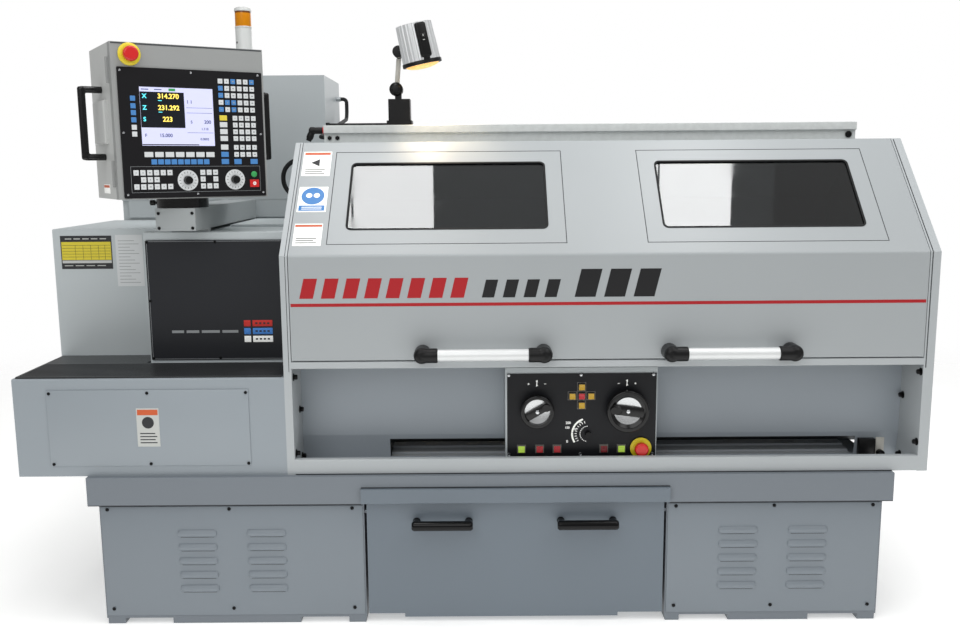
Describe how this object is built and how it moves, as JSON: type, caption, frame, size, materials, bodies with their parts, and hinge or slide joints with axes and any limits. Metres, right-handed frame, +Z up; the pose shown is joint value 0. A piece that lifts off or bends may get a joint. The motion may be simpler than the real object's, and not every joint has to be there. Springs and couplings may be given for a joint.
{
  "type": "cnc lathe",
  "caption": "Flat-bed CNC lathe with full-length guard door, carriage handwheel panel, swivelling control console, signal lamp and work lamp.",
  "frame": {"origin": "on the floor, under the middle of the machine's overall box", "axes": "+X to the right along the bed, +Y to the back, +Z up; the operator stands at -Y"},
  "size_m": [2.6, 1.3198, 1.9],
  "materials": {
    "paint_machine": "satin grey enamel",
    "paint_guard": "satin light grey enamel",
    "paint_cover": "satin grey enamel",
    "paint_base": "satin grey enamel",
    "paint_inner": "satin grey enamel",
    "paint_console": "satin light grey enamel",
    "plate_black": "fine textured black",
    "rubber_black": "ribbed mat",
    "plastic_black": "moulded",
    "handle_black": "moulded, with bright metal tube",
    "cable_black": "sheathed",
    "steel": "ground",
    "cast_iron": "machined",
    "window_glass": "clear laminated",
    "beacon_white": "gloss",
    "beacon_amber": "translucent",
    "button_red": "gloss",
    "button_amber": "gloss",
    "lamp_metal": "satin"
  },
  "bodies": {
    "machine": {"base_frame": "paint_base", "access_covers": "paint_cover", "bed": "cast_iron", "gearbox_housing": "paint_machine", "platform_mat": "rubber_black", "headstock": "paint_machine", "headstock_plate": "plate_black", "end_cover": "paint_machine", "guard_frame": "paint_guard", "chip_panel": "paint_inner", "way_cover": "steel", "rear_guard": "paint_guard", "top_beam": "paint_guard", "cabinet": "paint_machine", "beacon_body": "beacon_white", "beacon_lens": "beacon_amber", "beam_cables": "cable_black", "lamp_base": "plastic_black", "console_arm": "paint_machine", "slewing_ring": "plastic_black"},
    "guard_door": {"door_panel": "paint_guard", "window_panes": "window_glass", "door_handles": "handle_black"},
    "coolant_drawer": {"coolant_tank": "paint_cover", "tank_handles": "plastic_black"},
    "spindle_unit": {"spindle": "steel", "chuck_body": "steel"},
    "jaw_1": {"chuck_jaw_1": "steel"},
    "jaw_2": {"chuck_jaw_2": "steel"},
    "jaw_3": {"chuck_jaw_3": "steel"},
    "screw": {"ball_screw": "steel"},
    "carriage": {"saddle": "cast_iron", "apron_housing": "paint_guard", "apron_plate": "plate_black", "push_buttons": "button_red"},
    "cross_slide": {"cross_slide": "cast_iron"},
    "tool_post": {"tool_post": "steel"},
    "jog_centre": {"jog_centre": "button_red"},
    "jog_up": {"jog_up": "button_amber"},
    "jog_down": {"jog_down": "button_amber"},
    "jog_left": {"jog_left": "button_amber"},
    "jog_right": {"jog_right": "button_amber"},
    "override_knob": {"override_knob": "plastic_black"},
    "apron_stop": {"apron_stop": "button_red"},
    "handwheel_left": {"handwheel_left": "handle_black"},
    "handwheel_right": {"handwheel_right": "handle_black"},
    "tailstock": {"tailstock": "paint_machine"},
    "quill": {"quill": "steel"},
    "tail_wheel": {"tail_wheel": "steel"},
    "console": {"console_box": "paint_console", "console_handles": "plastic_black"},
    "console_front": {"console_front": "paint_console", "console_plate": "plate_black"},
    "selector_1": {"selector_knob_1": "plastic_black"},
    "selector_2": {"selector_knob_2": "plastic_black"},
    "console_stop": {"console_stop": "button_red"},
    "lock_knob": {"lock_knob": "plastic_black"},
    "lamp_stem": {"lamp_stem": "lamp_metal"},
    "lamp_head": {"lamp_head": "lamp_metal"},
    "cabinet_door": {"cabinet_door": "paint_machine"}
  },
  "joints": [
    {"name": "guard_door_hinge", "type": "hinge", "parent": "machine", "child": "guard_door", "pos_m": [0.3815, -0.2714, 1.372], "axis": [1, 0, 0], "range_deg": [-90, 0]},
    {"name": "coolant_drawer_slide", "type": "slide", "parent": "machine", "child": "coolant_drawer", "axis": [0, -1, 0], "range_m": [0, 0.55]},
    {"name": "spindle_turn", "type": "hinge", "parent": "machine", "child": "spindle_unit", "pos_m": [-0.75, -0.0894, 0.98], "axis": [1, 0, 0], "continuous": true},
    {"name": "jaw_1_slide", "type": "slide", "parent": "spindle_unit", "child": "jaw_1", "axis": [0, 0, 1], "range_m": [-0.008, 0.01]},
    {"name": "jaw_2_slide", "type": "slide", "parent": "spindle_unit", "child": "jaw_2", "axis": [0, -0.866, -0.5], "range_m": [-0.008, 0.01]},
    {"name": "jaw_3_slide", "type": "slide", "parent": "spindle_unit", "child": "jaw_3", "axis": [0, 0.866, -0.5], "range_m": [-0.008, 0.01]},
    {"name": "screw_turn", "type": "hinge", "parent": "machine", "child": "screw", "pos_m": [0.37, -0.3434, 0.6], "axis": [1, 0, 0], "range_deg": [-14400, 16560]},
    {"name": "carriage_slide", "type": "slide", "parent": "machine", "child": "carriage", "axis": [1, 0, 0], "range_m": [-0.4, 0.46]},
    {"name": "cross_slide_travel", "type": "slide", "parent": "carriage", "child": "cross_slide", "axis": [0, 1, 0], "range_m": [-0.08, 0.1]},
    {"name": "tool_post_turn", "type": "hinge", "parent": "cross_slide", "child": "tool_post", "pos_m": [0.3155, -0.2244, 0.95], "axis": [0, 0, 1], "continuous": true},
    {"name": "jog_centre_press", "type": "slide", "parent": "carriage", "child": "jog_centre", "axis": [0, 1, 0], "range_m": [0, 0.003], "stiffness_N_per_m": 300},
    {"name": "jog_up_press", "type": "slide", "parent": "carriage", "child": "jog_up", "axis": [0, 1, 0], "range_m": [0, 0.003], "stiffness_N_per_m": 300},
    {"name": "jog_down_press", "type": "slide", "parent": "carriage", "child": "jog_down", "axis": [0, 1, 0], "range_m": [0, 0.003], "stiffness_N_per_m": 300},
    {"name": "jog_left_press", "type": "slide", "parent": "carriage", "child": "jog_left", "axis": [0, 1, 0], "range_m": [0, 0.003], "stiffness_N_per_m": 300},
    {"name": "jog_right_press", "type": "slide", "parent": "carriage", "child": "jog_right", "axis": [0, 1, 0], "range_m": [0, 0.003], "stiffness_N_per_m": 300},
    {"name": "override_turn", "type": "hinge", "parent": "carriage", "child": "override_knob", "pos_m": [0.335, -0.5494, 0.548], "axis": [0, -1, 0], "range_deg": [0, 270]},
    {"name": "apron_stop_press", "type": "slide", "parent": "carriage", "child": "apron_stop", "axis": [0, 1, 0], "range_m": [0, 0.003]},
    {"name": "handwheel_left_turn", "type": "hinge", "parent": "carriage", "child": "handwheel_left", "pos_m": [0.1865, -0.5594, 0.622], "axis": [0, -1, 0], "continuous": true},
    {"name": "handwheel_right_turn", "type": "hinge", "parent": "carriage", "child": "handwheel_right", "pos_m": [0.446, -0.5594, 0.622], "axis": [0, -1, 0], "continuous": true},
    {"name": "tailstock_slide", "type": "slide", "parent": "machine", "child": "tailstock", "axis": [1, 0, 0], "range_m": [-0.4, 0]},
    {"name": "tail_wheel_turn", "type": "hinge", "parent": "tailstock", "child": "tail_wheel", "pos_m": [1.225, -0.0894, 0.98], "axis": [1, 0, 0], "range_deg": [-8640, 0]},
    {"name": "quill_slide", "type": "slide", "parent": "tailstock", "child": "quill", "axis": [1, 0, 0], "range_m": [-0.12, 0]},
    {"name": "console_swivel", "type": "hinge", "parent": "machine", "child": "console", "pos_m": [-0.841, -0.4134, 1.22], "axis": [0, 0, 1], "range_deg": [-60, 45]},
    {"name": "console_front_hinge", "type": "hinge", "parent": "console", "child": "console_front", "pos_m": [-0.97118, -0.59074, 1.4426], "axis": [0, 0, -1], "range_deg": [0, 100]},
    {"name": "selector_1_turn", "type": "hinge", "parent": "console_front", "child": "selector_1", "pos_m": [-0.79122, -0.5158, 1.284], "axis": [0.5358, -0.8443, 0], "range_deg": [-135, 135]},
    {"name": "selector_2_turn", "type": "hinge", "parent": "console_front", "child": "selector_2", "pos_m": [-0.6769, -0.44325, 1.2844], "axis": [0.5358, -0.8443, 0], "range_deg": [-135, 135]},
    {"name": "console_stop_press", "type": "slide", "parent": "console_front", "child": "console_stop", "axis": [-0.5358, 0.8443, 0], "range_m": [0, 0.003]},
    {"name": "lock_knob_turn", "type": "hinge", "parent": "machine", "child": "lock_knob", "pos_m": [-0.93, -0.4134, 1.2188], "axis": [1, 0, 0], "range_deg": [0, 180]},
    {"name": "lamp_stem_tilt", "type": "hinge", "parent": "machine", "child": "lamp_stem", "pos_m": [-0.2295, -0.1874, 1.553], "axis": [0, 1, 0], "range_deg": [-40, 30]},
    {"name": "lamp_head_tilt", "type": "hinge", "parent": "lamp_stem", "child": "lamp_head", "pos_m": [-0.2195, -0.1874, 1.664], "axis": [0, 1, 0], "range_deg": [-30, 30]},
    {"name": "cabinet_door_hinge", "type": "hinge", "parent": "machine", "child": "cabinet_door", "pos_m": [-1.2625, 0.6107, 1.06], "axis": [0, 0, 1], "range_deg": [0, 120]}
  ],
  "couplings": [
    {"joint": "jaw_2_slide", "follows": "jaw_1_slide", "ratio": 1},
    {"joint": "jaw_3_slide", "follows": "jaw_1_slide", "ratio": 1},
    {"joint": "carriage_slide", "follows": "screw_turn", "m_per_rad": 0.0015915},
    {"joint": "quill_slide", "follows": "tail_wheel_turn", "m_per_rad": 0.00079577}
  ]
}
